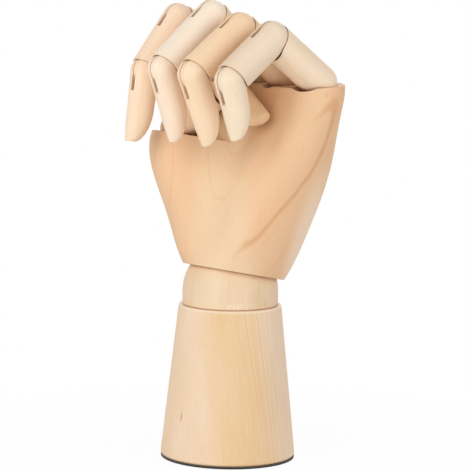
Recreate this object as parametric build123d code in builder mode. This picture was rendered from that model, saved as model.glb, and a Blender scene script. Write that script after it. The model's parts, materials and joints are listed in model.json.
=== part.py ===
from build123d import *
from math import cos, radians, sin, sqrt
from typing import NamedTuple
import os

# Wooden hand mannequin: a left hand closed in a fist on a turned base.
# Origin at the centre of the base underside, +Z up, palm side towards -Y, little finger towards +X.
# Lengths in mm, angles in degrees.

# Fits
running_gap = 0.05          # radial, a pin that turns in a hole
snug_gap = 0.02             # pieces pressed or glued together
joint_gap = 0.18            # a wooden dome in its dish
slot_gap = 0.12             # a tongue to each wall of its saw slot

# Base and wrist
base_height = 43.3
base_bottom_radius = 19.0
base_top_radius = 14.4
base_edge_radius = 1.0
pad_thickness = 0.45
pad_inset = 0.2
barrel_radius = 13.45
barrel_edge = 0.3           # chamfer where the barrel stands on the base
barrel_length = 3.7         # straight part of the barrel, base top to ball centre
ball_height = base_height + barrel_length
spigot_radius = 7.0
spigot_length = 4.0
spring_bore_radius = 4.6
swing_bore_radius = 6.3     # opening in the ball for the tilting screw eye
bar_radius = 1.5
bar_length = 14.0
bar_height = 5.1
bar_room = 0.4              # around the bar in its counterbore
wire_radius = 0.55
coil_radius = 3.0
coil_turns = 12
hook_radius = 2.3
eye_wire_radius = 0.7
eye_ring_radius = 2.6
eye_shank_length = 24.0

# Palm block, measured from the ball centre along the leaning palm
palm_lean = 11.86
palm_foot = 5.45            # underside of the palm above the ball centre
knuckle_height = 60.9
knuckle_depth = 1.1         # knuckle row behind the palm axis
knuckle_centre = 1.8        # middle of the row towards the little finger
knuckle_pitch = 12.06
top_drop_back = -1.0        # palm top below the knuckle axis, back edge
top_drop_front = 3.2        # the same at the front edge
top_edge_back = 8.5
top_edge_front = 6.5
ledge_drop = 19.9           # shoulder that carries the thumb, below the knuckle row
ledge_wall = 8.3            # palm face behind the thumb

# Knuckle pieces
pin_radius = 0.6
pin_end_depth = 0.1         # pin ends below the wood
pin_reach = 0.6             # far end of a pin, as a share of the bone radius
tongue_thickness = 1.0
tongue_head = 0.94          # tongue head and neck, as shares of the joint radius
tongue_neck = 0.42
tongue_tail = 5.0
slot_back = 5.9             # saw slot past the hinge on the back of the bone
slot_front = 0.75           # and on its palm side, as a share of the radius
rim_back = 0.2              # bone end below the next hinge, as shares of the next radius
rim_front = 0.5
further_bend = 6.0          # each joint past its bend in the photo
swing_room = 2.0            # groove past the largest bend
rod_inset = 5.5             # knuckle rod ends inside the outer knuckle centres
tip_length = 9.7            # rounded palm side of a finger end
tip_share = 0.92            # bone where the rounding starts, as a share of its root radius
tip_end = 0.2               # width left at the very end, as a share of the radius
tip_steps = (1.0, 0.75, 0.5, 0.28, 0.12, 0.03)


class Digit(NamedTuple):
    name: str
    bends: tuple            # each joint in the pose of the photo
    lengths: tuple
    radii: tuple
    relief: float           # bend that the dish in the palm makes room for


class PalmSection(NamedTuple):
    height: float
    ulnar: float            # half width at the little finger side
    back: float
    radial: float           # half width at the thumb side
    thenar: float           # depth of the thumb mound
    hollow: float
    heel: float             # depth of the mound below the little finger
    fullness: float         # 0 round, 1 full corners


fingers = (
    Digit("index", (63.6, 88.7, 31.5), (26.1, 18.4, 20.2), (4.9, 4.35, 4.05), 78),
    Digit("middle", (58.8, 81.6, 71.5), (25.7, 22.7, 20.6), (4.9, 4.4, 4.0), 78),
    Digit("ring", (64.8, 71.9, 78.7), (24.0, 20.8, 20.3), (4.9, 4.55, 4.15), 78),
    Digit("little", (67.9, 69.9, 72.5), (22.4, 18.7, 16.2), (4.9, 4.7, 4.15), 78),
)
thumb = Digit("thumb", (48.9, 73.4), (21.5, 20.4), (4.8, 4.5), 62)
thumb_drop = 18.2           # thumb hinge below the knuckle row
thumb_root = (-18.5, -13.5, knuckle_height - thumb_drop)
bone_names = {3: ("proximal", "middle", "distal"), 2: ("proximal", "distal")}

palm_sections = (
    PalmSection(palm_foot, 14.3, 14.3, 14.3, 14.3, 14.3, 14.3, 0.0),
    PalmSection(11, 16.7, 14.2, 16.6, 16.2, 14.0, 14.0, 0.3),
    PalmSection(20, 20.0, 13.3, 20.6, 17.7, 12.6, 13.4, 0.6),
    PalmSection(knuckle_height - 25.9, 24.2, 11.7, 26.2, 20.2, 9.2, 11.4, 1.0),
    PalmSection(knuckle_height - 12.9, 26.2, 10.5, 25.8, 17.0, 7.3, 8.3, 1.0),
    PalmSection(knuckle_height + 3.1, 25.9, 8.8, 23.5, 8.0, 6.8, 7.0, 1.0),
)

os.makedirs("parts", exist_ok=True)


def save(part, name):
    part.label = name
    export_step(part, f"parts/{name}.step")


def side_plane(hinge):
    """Plane across a hinge: x to the back of the digit, y along the bone, normal along the pin."""
    return Plane(hinge.origin, x_dir=hinge.y_dir, z_dir=hinge.x_dir)


def moved_plane(plane, offset, bend=0.0, turn=0.0):
    return Plane(plane * Location(offset, (bend, 0, turn)))


def bone_axis(hinge):
    return Axis(hinge.origin, hinge.z_dir)


palm_plane = Plane((0, 0, ball_height), x_dir=(1, 0, 0),
                   z_dir=(0, sin(radians(palm_lean)), cos(radians(palm_lean))))


# Turned base
with BuildPart() as base_cone:
    with BuildSketch(Plane.XZ):
        with BuildLine():
            Polyline((0, pad_thickness), (base_bottom_radius, pad_thickness),
                     (base_top_radius, base_height), (0, base_height), close=True)
        make_face()
    revolve(axis=Axis.Z)
    outer_rims = base_cone.edges().filter_by(GeomType.CIRCLE)
    fillet(outer_rims.sort_by(Axis.Z)[0], base_edge_radius)
    fillet(outer_rims.sort_by(Axis.Z)[-1], 0.4 * base_edge_radius)
    bar_pocket_top = bar_height + bar_radius + bar_room / 2
    with Locations((0, 0, pad_thickness)):
        Cylinder(spring_bore_radius, base_height, align=(Align.CENTER, Align.CENTER, Align.MIN),
                 mode=Mode.SUBTRACT)
        Cylinder(bar_length / 2 + bar_room, bar_pocket_top - pad_thickness,
                 align=(Align.CENTER, Align.CENTER, Align.MIN), mode=Mode.SUBTRACT)
    with Locations((0, 0, base_height)):
        Cylinder(spigot_radius + running_gap, spigot_length + bar_room / 2,
                 align=(Align.CENTER, Align.CENTER, Align.MAX), mode=Mode.SUBTRACT)
save(base_cone.part, "base_cone")

with BuildPart() as base_pad:
    Cylinder(base_bottom_radius - pad_inset, pad_thickness,
             align=(Align.CENTER, Align.CENTER, Align.MIN))
save(base_pad.part, "base_pad")

# Wrist barrel with its ball end
with BuildPart() as wrist_barrel:
    with BuildSketch(Plane.XZ):
        with BuildLine():
            Polyline((0, ball_height + barrel_radius), (0, base_height - spigot_length),
                     (spigot_radius, base_height - spigot_length), (spigot_radius, base_height),
                     (barrel_radius - barrel_edge, base_height), (barrel_radius, base_height + barrel_edge),
                     (barrel_radius, ball_height))
            CenterArc((0, ball_height), barrel_radius, 0, 90)
        make_face()
    revolve(axis=Axis.Z)
    with Locations((0, 0, base_height - spigot_length)):
        Cylinder(spring_bore_radius, 2 * barrel_radius + spigot_length,
                 align=(Align.CENTER, Align.CENTER, Align.MIN), mode=Mode.SUBTRACT)
    with Locations((0, 0, ball_height)):
        Cylinder(swing_bore_radius, 2 * barrel_radius,
                 align=(Align.CENTER, Align.CENTER, Align.MIN), mode=Mode.SUBTRACT)
save(wrist_barrel.part, "wrist_barrel")

# Cross bar, spring and screw eye that pull the palm onto the ball
with BuildPart() as spring_bar:
    with Locations(Plane((-bar_length / 2, 0, bar_height), z_dir=(1, 0, 0))):
        Cylinder(bar_radius, bar_length, align=(Align.CENTER, Align.CENTER, Align.MIN))
save(spring_bar.part, "spring_bar")

lower_hook = bar_height - bar_radius - 0.1 - wire_radius + hook_radius
upper_hook = ball_height - eye_ring_radius + eye_wire_radius + 0.1 + wire_radius - hook_radius
coil_start = lower_hook + hook_radius + 1.5
coil_height = upper_hook - hook_radius - 1.5 - coil_start
with BuildPart() as tension_spring:
    with BuildLine() as coil_path:
        Helix(coil_height / coil_turns, coil_height, coil_radius, center=(0, 0, coil_start))
    with BuildSketch(Plane(coil_path.line @ 0, z_dir=coil_path.line % 0)):
        Circle(wire_radius)
    sweep(path=coil_path.line)
    with Locations(Plane((0, 0, lower_hook), z_dir=(1, 0, 0)), Plane((0, 0, upper_hook), z_dir=(0, 1, 0))):
        Torus(hook_radius, wire_radius)
    with Locations((0, 0, lower_hook + hook_radius), (0, 0, coil_start + coil_height)):
        Cylinder(0.8 * wire_radius, 1.5, align=(Align.CENTER, Align.CENTER, Align.MIN))
    with Locations(Plane((0, 0, coil_start), z_dir=(1, 0, 0)),
                   Plane((0, 0, coil_start + coil_height), z_dir=(1, 0, 0))):
        Cylinder(0.7 * wire_radius, coil_radius, align=(Align.CENTER, Align.CENTER, Align.MIN))
save(tension_spring.part, "tension_spring")

with BuildPart() as screw_eye:
    with Locations(side_plane(palm_plane)):
        Torus(eye_ring_radius, eye_wire_radius)
    with Locations(moved_plane(palm_plane, (0, 0, eye_ring_radius))):
        Cylinder(eye_wire_radius, eye_shank_length, align=(Align.CENTER, Align.CENTER, Align.MIN))
save(screw_eye.part, "screw_eye")


# Knuckle pieces
def bone_profile(radius, length, end_radius):
    """Half outline of a bone: round root on the hinge, then a straight side."""
    with BuildLine() as outline:
        CenterArc((0, 0), radius, -90, 90)
        Polyline((radius, 0), (end_radius, length), (0, length), (0, -radius))
    make_face(outline.edges())


def make_bone(hinge, radius, length, next_joint):
    """One finger bone; next_joint is (hinge with the joint straight, radius, largest bend) or None."""
    side = side_plane(hinge)
    with BuildPart() as bone:
        with BuildSketch(side):
            if next_joint:
                bone_profile(radius, length, radius)
            else:
                bone_profile(radius, length - tip_length, tip_share * radius)
        revolve(axis=bone_axis(hinge))
        with BuildSketch(side):
            slot_slope = (slot_back - slot_front * radius) / 2
            with BuildLine():
                Polyline((-2 * radius, -2 * radius), (2 * radius, -2 * radius),
                         (2 * radius, slot_back + slot_slope),
                         (-2 * radius, slot_front * radius - slot_slope), close=True)
            make_face()
        extrude(amount=tongue_thickness / 2 + slot_gap, both=True, mode=Mode.SUBTRACT)
        with Locations(side.offset(-radius)):
            Cylinder(pin_radius + snug_gap, radius * (1 + pin_reach) + snug_gap,
                     align=(Align.CENTER, Align.CENTER, Align.MIN), mode=Mode.SUBTRACT)
        if next_joint:
            cut_dish(next_joint, radius)
            with BuildSketch(side):
                rim = [length - share * next_joint[1] for share in (rim_back, rim_front)]
                slope = (rim[0] - rim[1]) / (2 * radius)
                with BuildLine():
                    Polyline((2 * radius, rim[0] + slope * radius), (2 * radius, 2 * length),
                             (-2 * radius, 2 * length), (-2 * radius, rim[1] - slope * radius), close=True)
                make_face()
            extrude(amount=2 * radius, both=True, mode=Mode.SUBTRACT)
        else:
            make_tip(hinge, tip_share * radius, length)
    return bone.part


def cut_dish(joint, bone_radius):
    """Dish, swing groove, mortise and anchor hole for the joint at the end of a bone."""
    hinge, radius, largest_bend = joint
    side = side_plane(hinge)
    swung = moved_plane(hinge, (0, 0, 0), largest_bend + swing_room)
    with BuildSketch(side_plane(swung)) as swept:
        bone_profile(radius + joint_gap, 4 * radius, radius + joint_gap)
    revolve(swept.sketch, axis=bone_axis(swung), mode=Mode.SUBTRACT)
    tail_end = radius + joint_gap + tongue_tail
    with BuildSketch(side) as mortise:
        with Locations((0, -tail_end - snug_gap)):
            Rectangle(2 * (tongue_neck * radius + snug_gap), tail_end,
                      align=(Align.CENTER, Align.MIN))
    extrude(mortise.sketch, amount=tongue_thickness / 2 + snug_gap, both=True, mode=Mode.SUBTRACT)
    if bone_radius:
        with Locations(moved_plane(side, (0, -anchor_depth(radius), -bone_radius))):
            Cylinder(pin_radius + snug_gap, bone_radius * (1 + pin_reach) + snug_gap,
                     align=(Align.CENTER, Align.CENTER, Align.MIN), mode=Mode.SUBTRACT)


def anchor_depth(radius):
    """Anchor pin below the hinge that it serves."""
    return radius + joint_gap + tongue_tail / 2


def make_tip(hinge, radius, length):
    """Finger end: round sections that all touch the straight back line and shrink towards the end."""
    sections = []
    for step in tip_steps:
        share = tip_end + (1 - tip_end) * sqrt(1 - (1 - step) ** 2)
        with BuildSketch(moved_plane(hinge, (0, (1 - share) * radius, length - step * tip_length))) as section:
            Circle(share * radius)
        sections.append(section.sketch)
    loft(sections)


def make_tongue(joint, pinned):
    """Wooden tongue: round head on the pivot pin, tail pinned or glued in the piece before the joint."""
    hinge, radius, _ = joint
    with BuildPart() as tongue:
        with BuildSketch(side_plane(hinge)):
            Circle(tongue_head * radius)
            tail_end = radius + joint_gap + tongue_tail
            with Locations((0, -tail_end)):
                Rectangle(2 * tongue_neck * radius, tail_end, align=(Align.CENTER, Align.MIN))
            Circle(pin_radius + running_gap, mode=Mode.SUBTRACT)
            if pinned:
                with Locations((0, -anchor_depth(radius))):
                    Circle(pin_radius + snug_gap, mode=Mode.SUBTRACT)
        extrude(amount=tongue_thickness / 2, both=True)
    return tongue.part


def make_pins(hinge, radius, next_joint):
    """Pivot pin of a bone and, where a joint follows, the anchor pin of its tongue."""
    seats = [side_plane(hinge).offset(pin_end_depth - radius)]
    if next_joint:
        seats.append(moved_plane(side_plane(next_joint[0]),
                                 (0, -anchor_depth(next_joint[1]), pin_end_depth - radius)))
    with BuildPart() as pins:
        with Locations(*seats):
            Cylinder(pin_radius, radius * (1 + pin_reach) - pin_end_depth,
                     align=(Align.CENTER, Align.CENTER, Align.MIN))
    return pins.part


def joints_of(digit, root):
    """(straight hinge, radius, largest bend) of each joint and the bent hinge of each bone."""
    joints, hinges, straight = [], [], root
    for bend, length, radius in zip(digit.bends, digit.lengths, digit.radii):
        joints.append((straight, radius, bend + further_bend))
        hinges.append(moved_plane(straight, (0, 0, 0), bend))
        straight = moved_plane(hinges[-1], (0, 0, length))
    return joints, hinges


digit_roots = [(finger, moved_plane(palm_plane, (knuckle_centre + (place - 1.5) * knuckle_pitch,
                                                 knuckle_depth, knuckle_height)))
               for place, finger in enumerate(fingers)]
digit_roots.append((thumb, moved_plane(palm_plane, thumb_root, turn=90)))

palm_joints = []
for digit, root in digit_roots:
    joints, hinges = joints_of(digit, root)
    palm_joints.append((root, digit.radii[0], digit.relief))
    for place, bone_name in enumerate(bone_names[len(digit.lengths)]):
        name = f"{digit.name}_{bone_name}"
        following = joints[place + 1] if place + 1 < len(joints) else None
        save(make_bone(hinges[place], digit.radii[place], digit.lengths[place], following), name)
        pinned = digit is not thumb or place > 0
        save(make_tongue(joints[place], pinned), f"{name}_tongue")
        save(make_pins(hinges[place], digit.radii[place], following), f"{name}_pins")


# Carved palm block
def palm_outline(section):
    full = section.fullness
    corner = 0.707 + 0.14 * full
    face = 0.893 + 0.087 * full
    slope = full * (section.hollow + section.thenar) / 2 + (1 - full) * 0.966 * section.thenar
    return [(0, section.back),
            (0.45 * section.ulnar, face * section.back),
            (corner * section.ulnar, corner * section.back),
            (section.ulnar, 0),
            (corner * section.ulnar, -corner * section.heel),
            (0.45 * section.ulnar, -face * section.heel),
            (0, -section.hollow),
            (-(0.26 + 0.08 * full) * section.radial, -slope),
            (-(0.5 + 0.18 * full) * section.radial, -(0.866 + 0.134 * full) * section.thenar),
            (-(0.866 + 0.05 * full) * section.radial, -(0.5 + 0.37 * full) * section.thenar),
            (-section.radial, -0.3 * full * section.thenar),
            (-corner * section.radial, corner * section.back),
            (-0.45 * section.radial, face * section.back)]


rod_height = knuckle_height - anchor_depth(fingers[1].radii[0])
rod_start = knuckle_centre - 1.5 * knuckle_pitch - rod_inset
rod_end = knuckle_centre + 1.5 * knuckle_pitch + rod_inset - 2

past_palm = knuckle_height  # cutters reach out of the palm on every side

with BuildPart() as palm:
    for section in palm_sections:
        with BuildSketch(palm_plane.offset(section.height)):
            with BuildLine():
                Spline(*palm_outline(section), periodic=True)
            make_face()
    loft()
    # slanted top
    with BuildSketch(side_plane(palm_plane)):
        top_slope = (top_drop_front - top_drop_back) / (top_edge_back + top_edge_front)
        with BuildLine():
            Polyline((past_palm, knuckle_height - top_drop_back + (past_palm - top_edge_back) * top_slope),
                     (past_palm, 2 * past_palm), (-past_palm, 2 * past_palm),
                     (-past_palm, knuckle_height - top_drop_front - (past_palm - top_edge_front) * top_slope),
                     close=True)
        make_face()
    extrude(amount=past_palm, both=True, mode=Mode.SUBTRACT)
    # shoulder for the thumb
    with Locations(moved_plane(palm_plane, (0, -ledge_wall, knuckle_height - ledge_drop))):
        Box(past_palm, past_palm, past_palm, align=(Align.MAX, Align.MAX, Align.MIN), mode=Mode.SUBTRACT)
    # wrist socket and screw hole
    with Locations(palm_plane):
        Sphere(barrel_radius + joint_gap, mode=Mode.SUBTRACT)
        Cylinder(eye_wire_radius + snug_gap, eye_ring_radius + eye_shank_length + snug_gap,
                 align=(Align.CENTER, Align.CENTER, Align.MIN), mode=Mode.SUBTRACT)
    # knuckle dishes with their mortises, knuckle rod
    for joint in palm_joints:
        cut_dish(joint, None)
    with Locations(side_plane(moved_plane(palm_plane, (-past_palm, knuckle_depth, rod_height)))):
        Cylinder(pin_radius + snug_gap, past_palm + rod_end + snug_gap,
                 align=(Align.CENTER, Align.CENTER, Align.MIN), mode=Mode.SUBTRACT)
save(palm.part, "palm")

with BuildPart() as knuckle_rod:
    with Locations(side_plane(moved_plane(palm_plane, (rod_start, knuckle_depth, rod_height)))):
        Cylinder(pin_radius, rod_end - rod_start, align=(Align.CENTER, Align.CENTER, Align.MIN))
save(knuckle_rod.part, "knuckle_rod")
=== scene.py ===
# %% [markdown]
# # A wooden artist's hand
#
# The object is a jointed wooden hand that painters pose as a model, closed in a fist on a turned base. The
# shapes come from the CAD model, which is loaded here and never moved. This script gives every piece its
# wood, steel or felt and sets the camera and the light of the photograph.

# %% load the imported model
import json
import math
from collections import namedtuple

import bpy
import numpy as np
from mathutils import Matrix, Vector

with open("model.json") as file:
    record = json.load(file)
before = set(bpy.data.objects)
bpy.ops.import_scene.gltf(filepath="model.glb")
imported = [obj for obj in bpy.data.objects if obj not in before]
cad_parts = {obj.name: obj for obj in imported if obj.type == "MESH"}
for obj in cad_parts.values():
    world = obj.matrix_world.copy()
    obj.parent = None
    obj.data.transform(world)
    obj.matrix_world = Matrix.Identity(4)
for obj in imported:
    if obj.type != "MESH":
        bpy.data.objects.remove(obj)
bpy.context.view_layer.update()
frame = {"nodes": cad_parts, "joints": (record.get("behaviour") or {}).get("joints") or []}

scene = bpy.context.scene
nodes = frame["nodes"]
print("pieces loaded:", len(nodes))

# %% [markdown]
# ## Camera
#
# The photograph was taken with a long lens from about 0.7 m, a quarter turn towards the little finger and
# slightly above the knuckles. A camera could be aimed at the hand by a constraint, but this one is written
# as measured values, so that the picture lines up: where it stands, how far it is turned, looks down and
# rolls, and its focal length. A long lens keeps the sides of each finger bone almost parallel.

# %% camera at the photograph's place
turn = math.radians(47.09)
down = math.radians(7.385)
roll = math.radians(1.064)
standpoint = Vector((0.51751, -0.47968, 0.15423))
right_level = Vector((math.cos(turn), math.sin(turn), 0))
back = Vector((math.sin(turn) * math.cos(down), -math.cos(turn) * math.cos(down), math.sin(down)))
up_level = back.cross(right_level)
camera_right = math.cos(roll) * right_level + math.sin(roll) * up_level
camera_up = -math.sin(roll) * right_level + math.cos(roll) * up_level
camera_turn = Matrix((camera_right, camera_up, back)).transposed().to_4x4()

camera_data = bpy.data.cameras.new("studio camera")
camera_data.sensor_width = 36.0
camera_data.lens = 194.77
camera_data.clip_start, camera_data.clip_end = 0.01, 20.0
camera = bpy.data.objects.new("studio camera", camera_data)
scene.collection.objects.link(camera)
camera.matrix_world = Matrix.Translation(standpoint) @ camera_turn
scene.camera = camera
print("camera", [round(v, 4) for v in standpoint])

# %% [markdown]
# ## Shader nodes
#
# A shader is a drawing of nodes and wires. It could be drawn by hand in the Shader Editor, but written down
# it can be read and run again. These small functions each add one node, feed its inputs with wires or with
# plain values, and hand back its output, so that the materials below read like sums.


# %% node helpers
def add_node(tree, kind, **settings):
    """New shader node with its attributes set."""
    node = tree.nodes.new(kind)
    for key, value in settings.items():
        setattr(node, key, value)
    return node


def feed(tree, target, value):
    """Wire a socket to the target, or write a plain value on it."""
    if isinstance(value, bpy.types.NodeSocket):
        tree.links.new(value, target)
    else:
        target.default_value = value


def maths(tree, operation, *values):
    """Maths node; each value is a socket or a number."""
    node = add_node(tree, "ShaderNodeMath", operation=operation)
    for target, value in zip(node.inputs, values):
        feed(tree, target, value)
    return node.outputs[0]


def vector_maths(tree, operation, *values):
    """Vector maths node; a length or a dot product comes out as a number."""
    node = add_node(tree, "ShaderNodeVectorMath", operation=operation)
    for target, value in zip(node.inputs, values):
        feed(tree, target, value)
    return node.outputs["Value" if operation in ("LENGTH", "DOT_PRODUCT") else "Vector"]


def ramp(tree, value, start, end, low=0.0, high=1.0, smooth=False):
    """Value moved from the range start to end into the range low to high."""
    node = add_node(tree, "ShaderNodeMapRange", interpolation_type="SMOOTHSTEP" if smooth else "LINEAR")
    feed(tree, node.inputs["Value"], value)
    for title, number in (("From Min", start), ("From Max", end), ("To Min", low), ("To Max", high)):
        node.inputs[title].default_value = number
    return node.outputs["Result"]


def new_material(name):
    """Material with its node tree and its Principled BSDF."""
    material = bpy.data.materials.new(name)
    material.use_nodes = True
    return material, material.node_tree, material.node_tree.nodes["Principled BSDF"]


def own_place(tree):
    """Coordinates of the piece itself, which stay with it when it moves."""
    return add_node(tree, "ShaderNodeTexCoord").outputs["Object"]


print("node helpers ready")

# %% [markdown]
# ## White floor
#
# Product photographs like this one stand on a white sweep, so the background is plain white and the shadow
# is faint. A glowing sheet would have no shadow, and a matt one would need lamps too strong for the wood.
# This floor is both: it shows plain white to the camera, with a little of the shadow close to the object,
# and an ordinary matt surface to the light that bounces off it, so the wood still gets its glow from below.

# %% white floor
floor_mesh = bpy.data.meshes.new("floor")
edge = 9
corners = [(-edge, -edge, 0), (edge, -edge, 0), (edge, edge, 0), (-edge, edge, 0)]
floor_mesh.from_pydata(corners, [], [(0, 1, 2, 3)])
floor = bpy.data.objects.new("floor", floor_mesh)
scene.collection.objects.link(floor)


def looked_at(tree):
    """1 for rays from the camera, off a gloss or through glass, 0 for light that bounces about."""
    ray = add_node(tree, "ShaderNodeLightPath").outputs
    direct = maths(tree, "MAXIMUM", ray["Is Camera Ray"], ray["Is Glossy Ray"])
    return maths(tree, "MAXIMUM", direct, ray["Is Transmission Ray"])


shade_until, white_from, least_white = 0.03, 0.12, 0.95
sweep, tree, surface = new_material("white sweep")
tree.nodes.remove(surface)
matt = add_node(tree, "ShaderNodeBsdfDiffuse")
matt.inputs["Color"].default_value = (0.95, 0.95, 0.95, 1)
plain = add_node(tree, "ShaderNodeEmission")
plain.inputs["Color"].default_value = (1, 1, 1, 1)
distance = vector_maths(tree, "LENGTH", own_place(tree))
whiteness = ramp(tree, distance, shade_until, white_from, least_white, 1.0)
white_share = maths(tree, "MULTIPLY", whiteness, looked_at(tree))
blend = add_node(tree, "ShaderNodeMixShader")
for target, source in zip(blend.inputs, (white_share, matt.outputs[0], plain.outputs[0])):
    feed(tree, target, source)
feed(tree, tree.nodes["Material Output"].inputs["Surface"], blend.outputs[0])
floor_mesh.materials.append(sweep)
print("floor:", sweep.name)

# %% [markdown]
# ## Room and lamps
#
# The shadows in the photograph are soft, so the light comes from large squares and not from a sun lamp. The
# lamps are placed from the middle of the hand along the camera's own directions: a strong one in front on
# the left, a weaker one on the right that opens the shadows, and a weak one behind that keeps the rims and
# the back from going dark. The room is white where it is looked at and dimmer as a source of light.

# %% room and lamps
room_light = 0.34
world = bpy.data.worlds.new("white room")
scene.world = world
world.use_nodes = True
tree = world.node_tree
room = tree.nodes["Background"]
room.inputs["Color"].default_value = (1, 1, 1, 1)
feed(tree, room.inputs["Strength"], ramp(tree, looked_at(tree), 0.0, 1.0, room_light, 1.0))

upright = Vector((0, 0, 1))
hand_middle = 0.085 * upright
lamp_size = 0.8


def soft_lamp(name, sideways, upwards, forwards, power):
    """Square lamp placed from the hand's middle along the camera's own directions, aimed at the hand."""
    lamp_data = bpy.data.lights.new(name, "AREA")
    lamp_data.shape = "SQUARE"
    lamp_data.size = lamp_size
    lamp_data.energy = power
    lamp = bpy.data.objects.new(name, lamp_data)
    scene.collection.objects.link(lamp)
    lamp.location = hand_middle + sideways * right_level + upwards * upright + forwards * back
    lamp.rotation_mode = "QUATERNION"
    lamp.rotation_quaternion = (lamp.location - hand_middle).to_track_quat("Z", "Y")


soft_lamp("large lamp front left", sideways=-0.5, upwards=0.3, forwards=0.85, power=7.2)
soft_lamp("small lamp right", sideways=0.95, upwards=0.3, forwards=0.4, power=3.3)
soft_lamp("small lamp behind", sideways=0.1, upwards=0.5, forwards=-0.85, power=3.0)
scene.view_settings.view_transform = "Standard"

# %% [markdown]
# ## Growth rings
#
# Pale hardwood shows its year rings as soft bands with one edge drawn as a thin darker line. A Wave texture
# could draw bands, but in the tree the rings are cylinders around the pith. So the ring number here is the
# distance from the pith line, with a slow wander, divided by the spacing. Where the carver cuts through
# these cylinders at a slant, the bands open into long ovals by themselves. All the wood uses them, so they
# are a shader node group, with lengths in millimetres. The ring at the distance called First is drawn in
# full, and Others is the strength of the rest.


# %% growth ring group
def new_group(name, inputs, outputs):
    """Empty shader group with named sockets; returns the group, what comes in and where results go."""
    group = bpy.data.node_groups.new(name, "ShaderNodeTree")
    for side, titles in (("INPUT", inputs), ("OUTPUT", outputs)):
        for title in titles:
            kind = "NodeSocketVector" if title in ("Vector", "Normal") else "NodeSocketFloat"
            group.interface.new_socket(name=title, in_out=side, socket_type=kind)
    return group, add_node(group, "NodeGroupInput").outputs, add_node(group, "NodeGroupOutput").inputs


def noise(tree, source, scale, detail=2.0, roughness=0.5, along=1.0):
    """Soft noise; a value of along below 1 draws it out along the third axis, the grain."""
    node = add_node(tree, "ShaderNodeTexNoise", noise_dimensions="3D")
    feed(tree, node.inputs["Vector"], vector_maths(tree, "MULTIPLY", source, (1, 1, along)))
    node.inputs["Scale"].default_value = scale
    node.inputs["Detail"].default_value = detail
    node.inputs["Roughness"].default_value = roughness
    return node.outputs["Fac"]


rings, rings_in, rings_out = new_group(
    "growth rings", ("Vector", "First", "Spacing", "Wander", "Others"), ("Band", "Line"))
reach = vector_maths(rings, "LENGTH", vector_maths(rings, "MULTIPLY", rings_in["Vector"], (1, 1, 0)))
noise_middle, same_number = 0.5, 0.4
slow = noise(rings, rings_in["Vector"], scale=0.09, along=0.3)
wander = maths(rings, "MULTIPLY", maths(rings, "SUBTRACT", slow, noise_middle), rings_in["Wander"])
past_first = maths(rings, "SUBTRACT", maths(rings, "ADD", reach, wander), rings_in["First"])
count = maths(rings, "DIVIDE", past_first, rings_in["Spacing"])
share = maths(rings, "FRACT", count)
is_first = maths(rings, "COMPARE", maths(rings, "ROUND", count), 0.0, same_number)
strength = maths(rings, "MAXIMUM", is_first, rings_in["Others"])
for title, inner_start, outer_end in (("Band", 0.45, 0.4), ("Line", 0.92, 0.06)):
    inner = ramp(rings, share, inner_start, 1.0, smooth=True)
    outer = ramp(rings, share, outer_end, 0.0, smooth=True)
    near_ring = maths(rings, "MAXIMUM", inner, outer)
    feed(rings, rings_out[title], maths(rings, "MULTIPLY", near_ring, strength))
print("group", rings.name)

# %% [markdown]
# ## Fibres and flecks
#
# Close up, the wood has fine pale and dark fibres along the bone and scattered short brown dashes, the rays
# of the timber. A scanned picture of wood would show seams on the round bones, and noise has none. One
# noise, drawn out along the grain, gives the fibres, and a second one, cut off high, leaves only the
# dashes. A third, very slow one clouds the tone.

# %% fibre and fleck group
fibres, fibres_in, fibres_out = new_group(
    "fibres and flecks", ("Vector", "Fleck Amount"), ("Fibre", "Fleck", "Cloud"))
wood_place = fibres_in["Vector"]
dash_start, dash_full = 0.8, 0.88
short_streak = noise(fibres, wood_place, scale=1.1, detail=0.0, along=0.16)
dash = ramp(fibres, short_streak, dash_start, dash_full, smooth=True)
feed(fibres, fibres_out["Fibre"], noise(fibres, wood_place, scale=1.9, detail=3.0, roughness=0.6, along=0.03))
feed(fibres, fibres_out["Fleck"], maths(fibres, "MULTIPLY", dash, fibres_in["Fleck Amount"]))
feed(fibres, fibres_out["Cloud"], noise(fibres, wood_place, scale=0.1, along=0.4))
print("group", fibres.name)

# %% [markdown]
# ## Pale rims and painted shade
#
# The sharp rims are painted paler, a painted highlight like the light that catches on rounded rims, and the
# saw slots and the gaps at the joints are painted darker, a painted shade. The rims could be bevelled in the
# mesh, but the CAD meshes stay as they are, so the shader does it. A Bevel node finds the rims, because its
# softened normal differs from the true one there, and an Ambient Occlusion node finds the places that are
# closed in. The softened normal also rounds the rims in the light.

# %% edge and crevice group
rim_light_and_shade, rim_light_and_shade_in, rim_light_and_shade_out = new_group(
    "painted rim highlight and painted shade", ("Edge Reach", "Crevice Reach"), ("Edge", "Painted Shade", "Normal"))
flat_match, rim_match = 0.98, 0.8
sheltered, exposed = 0.45, 0.75
# openness at which the painted shade starts and where it is full
painted_shade_from, painted_shade_full = 0.55, 0.05
bevel = add_node(rim_light_and_shade, "ShaderNodeBevel", samples=6)
feed(rim_light_and_shade, bevel.inputs["Radius"], rim_light_and_shade_in["Edge Reach"])
softened = bevel.outputs["Normal"]
true_face = add_node(rim_light_and_shade, "ShaderNodeNewGeometry").outputs["Normal"]
match = vector_maths(rim_light_and_shade, "DOT_PRODUCT", softened, true_face)
occlusion = add_node(rim_light_and_shade, "ShaderNodeAmbientOcclusion", samples=8)
feed(rim_light_and_shade, occlusion.inputs["Distance"], rim_light_and_shade_in["Crevice Reach"])
openness = occlusion.outputs["AO"]
is_rim = ramp(rim_light_and_shade, match, flat_match, rim_match)
# Edge marks the rims that the finish paints paler, a painted highlight
feed(rim_light_and_shade, rim_light_and_shade_out["Edge"], maths(rim_light_and_shade, "MULTIPLY", is_rim, ramp(rim_light_and_shade, openness, sheltered, exposed)))
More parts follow.
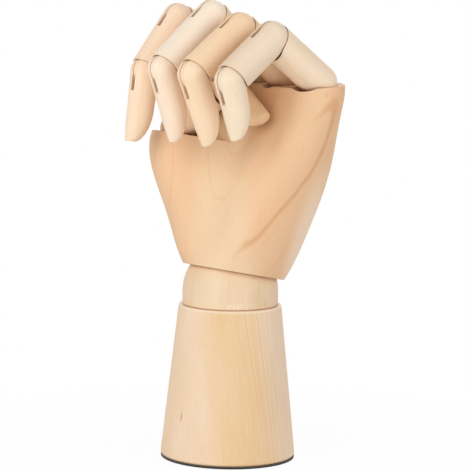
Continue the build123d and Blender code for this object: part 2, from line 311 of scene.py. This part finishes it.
# this output is painted shade, rising towards 1 where the Ambient Occlusion node finds the point closed in
feed(rim_light_and_shade, rim_light_and_shade_out["Painted Shade"], ramp(rim_light_and_shade, openness, painted_shade_from, painted_shade_full, smooth=True))
feed(rim_light_and_shade, rim_light_and_shade_out["Normal"], softened)
print("group", rim_light_and_shade.name)

# %% [markdown]
# ## Zones and spots in the wood
#
# A board is not the same all over. A painted mask would need a picture, so distances are used here. A zone
# is a line through the wood with a near and a far distance from it, for a pale heart or for a place where
# the rings hardly show. A spot is a rounded patch with a colour of its own, plain or broken into fine
# strokes. Some spots are stains, such as a fleck; others are painted light, a painted highlight on a rim
# and a painted sheen on an edge.

# %% zones and spots
Zone = namedtuple("Zone", "point run near far")
# a spot's colour is a real stain for some spots and painted light for others
Spot = namedtuple("Spot", "centre sharpness stain weight strokes", defaults=(False,))
spot_edge, spot_core = 1.0, 0.3


def away_from(tree, source, zone):
    """0 closer than near to the zone's line, 1 beyond far; lengths in metres."""
    offset = vector_maths(tree, "SUBTRACT", source, zone.point)
    arm = vector_maths(tree, "CROSS_PRODUCT", offset, zone.run.normalized())
    return ramp(tree, vector_maths(tree, "LENGTH", arm), zone.near, zone.far, smooth=True)


def close_to(tree, source, spot):
    """1 at the spot's centre, 0 from 1 / sharpness metres on; a direction with sharpness 0 has no limit."""
    offset = vector_maths(tree, "SUBTRACT", source, spot.centre)
    scaled = vector_maths(tree, "MULTIPLY", offset, spot.sharpness)
    return ramp(tree, vector_maths(tree, "LENGTH", scaled), spot_edge, spot_core, smooth=True)


print("zones and spots ready")

# %% [markdown]
# ## Boards
#
# Every wooden piece was cut from another board, so each has its own grain, tones and rings. The fibres of
# the pieces point in many directions, while the groups above expect the third axis along the grain. A
# Mapping node turns the coordinates once, which is simpler than turning each noise. A colour is written as
# it looks on a screen, from 0 to 255, and turned into the linear value that light needs.

# %% boards and colours
mm = 0.001

# grain: direction of the fibres; pith: a point on the middle line of the log, in metres
# pale, warm: the two tones of the wood; first, spacing, wander: of the growth rings, in millimetres
# others, band, line: strength of all rings but the first, of the soft bands and of the late wood lines
# fibre, fleck: strength of the fibres and the flecks; crevice: how far the painted shade looks round, in
# metres
# heart: zone that keeps the tone called pale; quiet: zones where the rings fade; spots: stains and painted
# light
Board = namedtuple("Board", "grain pith pale warm first spacing wander others band line fibre fleck heart "
                   "quiet crevice spots", defaults=(3.0, 0.6, 0.6, 0.4, 0.03, 0.3, None, (), 4 * mm, ()))


def along_grain(tree, source, board):
    """Coordinates in millimetres from the pith, the third one along the grain."""
    grain = Vector(board.grain).normalized()
    helper = Vector((1, 0, 0)) if abs(grain.x) < 0.9 else Vector((0, 1, 0))
    across = (helper - grain * helper.dot(grain)).normalized()
    to_grain = Matrix((across, grain.cross(across), grain))
    turned = add_node(tree, "ShaderNodeMapping", vector_type="POINT")
    turned.inputs["Scale"].default_value = (1 / mm, 1 / mm, 1 / mm)
    turned.inputs["Rotation"].default_value = to_grain.to_euler("XYZ")
    turned.inputs["Location"].default_value = -(to_grain @ Vector(board.pith)) / mm
    feed(tree, turned.inputs["Vector"], source)
    return turned.outputs[0]


def tone(red, green, blue):
    """Screen colour from 0 to 255 as the linear colour that shaders use."""
    def linear(value):
        value /= 255
        return value / 12.92 if value <= 0.04045 else ((value + 0.055) / 1.055) ** 2.4
    return (linear(red), linear(green), linear(blue), 1.0)


def mixed(tree, factor, first, second, kind="MIX"):
    """Colour mix; factor and colours are sockets or values."""
    node = add_node(tree, "ShaderNodeMix", data_type="RGBA", blend_type=kind)
    factor_place, first_place, second_place, colour_place = 0, 6, 7, 2
    for place, value in ((factor_place, factor), (first_place, first), (second_place, second)):
        feed(tree, node.inputs[place], value)
    return node.outputs[colour_place]


print("a board has:", ", ".join(Board._fields))

# %% [markdown]
# ## Tones of the wood
#
# The colour is built up step by step, the wood's own in the order in which it comes about. The tree gives
# the rings and slow clouds, which mix the pale tone with the warm one, and the late wood lines. Then come the
# fibres and flecks and the spots of this one piece: stains, and on the base and palm a painted highlight and
# a painted sheen. Last the rims get a painted highlight and the crevices a painted shade. One long drawing
# would do the same, but each step is a short function, so that it can be read by itself.


# %% tones of the wood
def use_group(tree, group, values):
    """Group placed in a material, its inputs fed by name; returns its outputs."""
    node = add_node(tree, "ShaderNodeGroup", node_tree=group)
    for title, value in values.items():
        feed(tree, node.inputs[title], value)
    return node.outputs


late_wood, fleck_brown = tone(242, 228, 219), tone(186, 138, 96)
# tints and weights of the painted highlight on the rims and the painted shade in the crevices
rim_highlight_tint, painted_shade_tint = tone(255, 242, 224), tone(206, 170, 140)
heart_weight, rim_highlight_weight, painted_shade_weight = 0.65, 0.4, 0.8
cloud_range, fibre_range, stroke_range = (0.35, 0.7), (0.3, 0.7), (0.48, 0.6)


def ring_tone(tree, source, turned, cloud, board):
    """Pale and warm tone mixed by rings and clouds, with the late wood lines."""
    year = use_group(tree, rings, {"Vector": turned, "First": board.first, "Spacing": board.spacing,
                                   "Wander": board.wander, "Others": board.others})
    ring_band, ring_line = year["Band"], year["Line"]
    for zone in board.quiet:
        loud = away_from(tree, source, zone)
        ring_band = maths(tree, "MULTIPLY", ring_band, loud)
        ring_line = maths(tree, "MULTIPLY", ring_line, loud)
    clouded = maths(tree, "ADD", ring_band, ramp(tree, cloud, *cloud_range))
    warmth = maths(tree, "MULTIPLY", clouded, board.band)
    if board.heart:
        warmth = maths(tree, "MULTIPLY_ADD", away_from(tree, source, board.heart), heart_weight, warmth)
    colour = mixed(tree, warmth, board.pale, board.warm)
    return mixed(tree, maths(tree, "MULTIPLY", ring_line, board.line), colour, late_wood, "MULTIPLY")


def fibre_tone(tree, colour, fine, board):
    """Colour made lighter and darker by the fibres, with the flecks."""
    grey = add_node(tree, "ShaderNodeCombineColor")
    shade = ramp(tree, fine["Fibre"], *fibre_range, 1 - board.fibre, 1 + board.fibre)
    for channel in ("Red", "Green", "Blue"):
        feed(tree, grey.inputs[channel], shade)
    colour = mixed(tree, 1.0, colour, grey.outputs[0], "MULTIPLY")
    return mixed(tree, fine["Fleck"], colour, fleck_brown)


def spot_tone(tree, colour, source, turned, spot):
    """Colour with one spot laid over it."""
    amount = maths(tree, "MULTIPLY", close_to(tree, source, spot), spot.weight)
    if spot.strokes:
        stroke = noise(tree, turned, scale=4.0, detail=1.0, along=0.25)
        amount = maths(tree, "MULTIPLY", amount, ramp(tree, stroke, *stroke_range))
    return mixed(tree, amount, colour, spot.stain)


def rim_light_and_shade_tone(tree, colour, rim_and_shade):
    """Colour with a painted highlight on the rims and a painted shade in the crevices."""
    colour = mixed(tree, maths(tree, "MULTIPLY", rim_and_shade["Edge"], rim_highlight_weight), colour, rim_highlight_tint)
    return mixed(tree, maths(tree, "MULTIPLY", rim_and_shade["Painted Shade"], painted_shade_weight), colour, painted_shade_tint, "MULTIPLY")


print("tones ready: rings, fibres, spots, wear")

# %% [markdown]
# ## The wooden finish
#
# In the photograph the wood looks sanded, with a dull sheen and no sharp reflections, so a second glossy
# layer isn't needed. One function makes the material of any board from the steps above. The fibres lift the
# surface very slightly and change its roughness.

# %% wooden finish
edge_reach = 0.3 * mm
least_rough, most_rough = 0.52, 0.68
fibre_lift, lift_strength = 0.2 * mm, 0.08


def lifted(tree, height, strength, distance, normal=None):
    """Normal of a surface that a noise lifts slightly."""
    bump = add_node(tree, "ShaderNodeBump")
    bump.inputs["Strength"].default_value = strength
    bump.inputs["Distance"].default_value = distance
    feed(tree, bump.inputs["Height"], height)
    if normal is not None:
        feed(tree, bump.inputs["Normal"], normal)
    return bump.outputs[0]


def wooden_finish(name, board):
    """Material of pale hardwood for the pieces cut from one board."""
    finish, tree, surface = new_material(name)
    source = own_place(tree)
    turned = along_grain(tree, source, board)
    fine = use_group(tree, fibres, {"Vector": turned, "Fleck Amount": board.fleck})
    rim_and_shade = use_group(tree, rim_light_and_shade, {"Edge Reach": edge_reach, "Crevice Reach": board.crevice})
    colour = ring_tone(tree, source, turned, fine["Cloud"], board)
    colour = fibre_tone(tree, colour, fine, board)
    for spot in board.spots:
        colour = spot_tone(tree, colour, source, turned, spot)
    normal = lifted(tree, fine["Fibre"], lift_strength, fibre_lift, rim_and_shade["Normal"])
    # the base colour ends with a painted highlight on the rims and a painted shade in the crevices
    feed(tree, surface.inputs["Base Color"], rim_light_and_shade_tone(tree, colour, rim_and_shade))
    feed(tree, surface.inputs["Roughness"], ramp(tree, fine["Fibre"], 0.0, 1.0, least_rough, most_rough))
    feed(tree, surface.inputs["Normal"], normal)
    surface.inputs["Specular IOR Level"].default_value = 0.3
    return finish


def dress(node_name, finish):
    """Give a CAD node its material."""
    mesh = nodes[node_name].data
    mesh.materials.clear()
    mesh.materials.append(finish)


print("wooden finish ready")

# %% [markdown]
# ## Base and wrist
#
# Both were turned on a lathe from wood whose fibres run up the axis. The base's pith lay in front of it and
# to the left: the rings lie flat in the middle of the front and are cut across on the right, where they
# show as thin upright lines. A yellower streak runs up beside them, and low on the left is one brown fleck.
# A pale band along the base's top rim is a painted highlight. The foot of the barrel has a few pale strokes
# in front. These are stains and not shapes, so the material draws them. Places are in millimetres as the
# camera sees them: to the right of the axis, towards the camera and up. The joint between base and barrel,
# taken from the frame, is the base's top.

# %% base and wrist
toward = Vector((math.sin(turn), -math.cos(turn), 0))
hinges = {joint["name"]: Vector(joint["pos_m"]) for joint in frame["joints"]}
base_top = hinges["wrist_turn"]


def in_view(right, forward, height=0.0):
    """Place in millimetres right of the axis, towards the camera and up."""
    return mm * (right * right_level + forward * toward + height * upright)


base_grain = upright - 0.12 * right_level
pale_strokes_and_highlight = tone(253, 238, 216)
streak = Zone(in_view(6.5, 16.5), base_grain, near=4 * mm, far=13 * mm)
plain_front = Zone(in_view(-8, 13.5), base_grain, near=13 * mm, far=19 * mm)
brown_fleck = Spot(in_view(-13, 12, 13.2), (2200, 2200, 500), tone(150, 104, 66), weight=0.5)
# a pale band round the base's top rim, a painted highlight
painted_rim_highlight = Spot(base_top, (0, 0, 1200), pale_strokes_and_highlight, weight=0.45)
pale_foot = Spot(base_top + in_view(2.3, 13.3, 1.0), (130, 130, 760), pale_strokes_and_highlight, weight=0.55, strokes=True)
base_board = Board(
    base_grain, in_view(-7.7, 33.5), tone(230, 195, 148), tone(240, 214, 187), first=29, spacing=3.3,
    wander=0.8, others=0.7, band=0.3, line=1.0, fibre=0.035, fleck=0.1, heart=streak, quiet=(plain_front,),
    spots=(brown_fleck, painted_rim_highlight))
wrist_board = Board(
    (0, 0.1, 1), (0.05, 0.04, 0.05), tone(237, 210, 178), tone(226, 193, 155), first=55, spacing=9,
    wander=5, band=0.4, line=0.2, fleck=0.6, spots=(pale_foot,))
dress("base_cone", wooden_finish("base wood", base_board))
dress("wrist_barrel", wooden_finish("wrist wood", wrist_board))
print("base top at", [round(v, 4) for v in base_top])

# %% [markdown]
# ## Palm
#
# The palm is carved from one block whose pith runs up inside its back, leaning towards the fingers. Its
# rounded mounds cut through the rings. That is why the photograph shows one reddish line that comes down
# the mound below the little finger and runs out at the heel, with paler wood inside it. A pale patch at the
# far side is a painted sheen. The line could be drawn as a curve, but as a ring of the board it also goes on
# round the back. Two quiet zones fade the ring where the photograph has none.

# %% palm
lean = math.radians(11.86)
palm_side, palm_up = Vector((1, 0, 0)), Vector((0, math.sin(lean), math.cos(lean)))
palm_back = palm_up.cross(palm_side)
wrist_ball = hinges["wrist_tilt"]


def in_palm(across, backwards, upwards):
    """Place in millimetres from the wrist ball, along the palm's own directions."""
    return wrist_ball + mm * (across * palm_side + backwards * palm_back + upwards * palm_up)


palm_grain = 0.057 * palm_side - 0.142 * palm_back + palm_up
mound_run = 0.37 * palm_side + 0.175 * palm_back + palm_up
pale_heart = Zone(in_palm(3.6, -11.5, 24), palm_up - 0.24 * palm_side, near=4.5 * mm, far=12.5 * mm)
quiet_mound = Zone(in_palm(13, -10.7, 27), mound_run, near=3.5 * mm, far=6.5 * mm)
quiet_left = Zone(in_palm(-3.7, -14.4, 18), palm_up - 0.358 * palm_side, near=1.5 * mm, far=4.5 * mm)
# a pale patch on the palm's far side, a painted sheen
painted_sheen_patch = Spot(in_palm(18.3, 7.8, 16), (90, 133, 30), tone(245, 217, 190), weight=0.9)
# the crevice reach of 10 mm spreads the painted shade over the hollow and arch under the fingers
palm_board = Board(
    palm_grain, in_palm(-0.8, 11.8, 0), tone(237, 208, 171), tone(233, 189, 148), first=24.2, spacing=4.6,
    wander=1.0, others=0.3, band=0.25, line=1.0, fibre=0.02, fleck=0.2, heart=pale_heart,
    quiet=(quiet_mound, quiet_left), crevice=10 * mm, spots=(painted_sheen_patch,))
dress("palm", wooden_finish("palm wood", palm_board))
print("wrist ball at", [round(v, 4) for v in wrist_ball])

# %% [markdown]
# ## Finger bones
#
# The bones come from different sticks, from almost white to orange. The grain runs along each bone. Its
# direction could be typed in for each, but measured on the mesh it stays right: it is the direction in
# which the vertices spread most. The pith of a stick lies 30 mm beside its bone, on another side for each.
# The tongue in the root of a bone is a thin strip of the same wood.

# %% finger bones
bone_tones = {
    "index_proximal": (tone(244, 216, 184), tone(236, 198, 156)),
    "index_middle": (tone(253, 228, 200), tone(247, 213, 180)),
    "index_distal": (tone(250, 224, 196), tone(244, 212, 180)),
    "middle_proximal": (tone(246, 224, 196), tone(238, 206, 170)),
    "middle_middle": (tone(254, 239, 219), tone(250, 227, 201)),
    "middle_distal": (tone(250, 229, 204), tone(243, 216, 187)),
    "ring_proximal": (tone(244, 216, 184), tone(236, 198, 156)),
    "ring_middle": (tone(250, 218, 182), tone(242, 198, 154)),
    "ring_distal": (tone(250, 222, 190), tone(243, 208, 170)),
    "little_proximal": (tone(250, 228, 200), tone(242, 212, 180)),
    "little_middle": (tone(241, 220, 195), tone(233, 206, 177)),
    "little_distal": (tone(243, 223, 196), tone(236, 209, 178)),
    "thumb_proximal": (tone(244, 214, 180), tone(234, 194, 150)),
    "thumb_distal": (tone(243, 208, 166), tone(234, 189, 143)),
}
pith_beside, turn_each = 30 * mm, 2.4
for number, (bone, (pale, warm)) in enumerate(bone_tones.items()):
    corners = np.array([v.co for v in nodes[bone].data.vertices])
    middle = corners.mean(0)
    axes = np.linalg.eigh(np.cov((corners - middle).T))[1]
    grain = Vector(axes[:, 2])
    side = Vector((math.cos(turn_each * number), math.sin(turn_each * number), 0.5))
    pith = Vector(middle) + pith_beside * grain.cross(side).normalized()
    bone_board = Board(grain, pith, pale, warm, first=28, spacing=9, wander=3, band=0.4, line=0.2, fibre=0.02,
                       fleck=0.15)
    finish = wooden_finish(bone.replace("_", " ") + " wood", bone_board)
    dress(bone, finish)
    dress(bone + "_tongue", finish)
print("bones dressed:", len(bone_tones))

# %% [markdown]
# ## Steel and felt
#
# The pins, the rod and the spring are plain steel wire, mostly hidden. Drawn wire has fine scratches, so
# its roughness follows a noise. The pad under the base is dark felt with a fuzzy, uneven surface. It could
# be grown as hair, but it only shows as a thin line, so a lifted, dull surface is enough.

# %% steel and felt
steel, tree, surface = new_material("plain steel")
surface.inputs["Metallic"].default_value = 1.0
scratches = noise(tree, own_place(tree), scale=2500.0)
feed(tree, surface.inputs["Base Color"], mixed(tree, scratches, tone(128, 126, 122), tone(176, 174, 168)))
feed(tree, surface.inputs["Roughness"], ramp(tree, scratches, 0.0, 1.0, 0.3, 0.55))
steel_pieces = [name for name in nodes if name.endswith(("_pins", "_rod", "_bar", "_spring", "_eye"))]
for name in steel_pieces:
    dress(name, steel)

felt, tree, surface = new_material("dark felt")
fuzz = noise(tree, own_place(tree), scale=1800.0, detail=4.0, roughness=0.7)
feed(tree, surface.inputs["Base Color"], mixed(tree, fuzz, tone(18, 18, 14), tone(48, 48, 40)))
surface.inputs["Roughness"].default_value = 0.95
surface.inputs["Sheen Weight"].default_value = 0.3
feed(tree, surface.inputs["Normal"], lifted(tree, fuzz, strength=0.6, distance=0.3 * mm))
dress("base_pad", felt)
print("steel pieces:", len(steel_pieces), "and the felt pad")
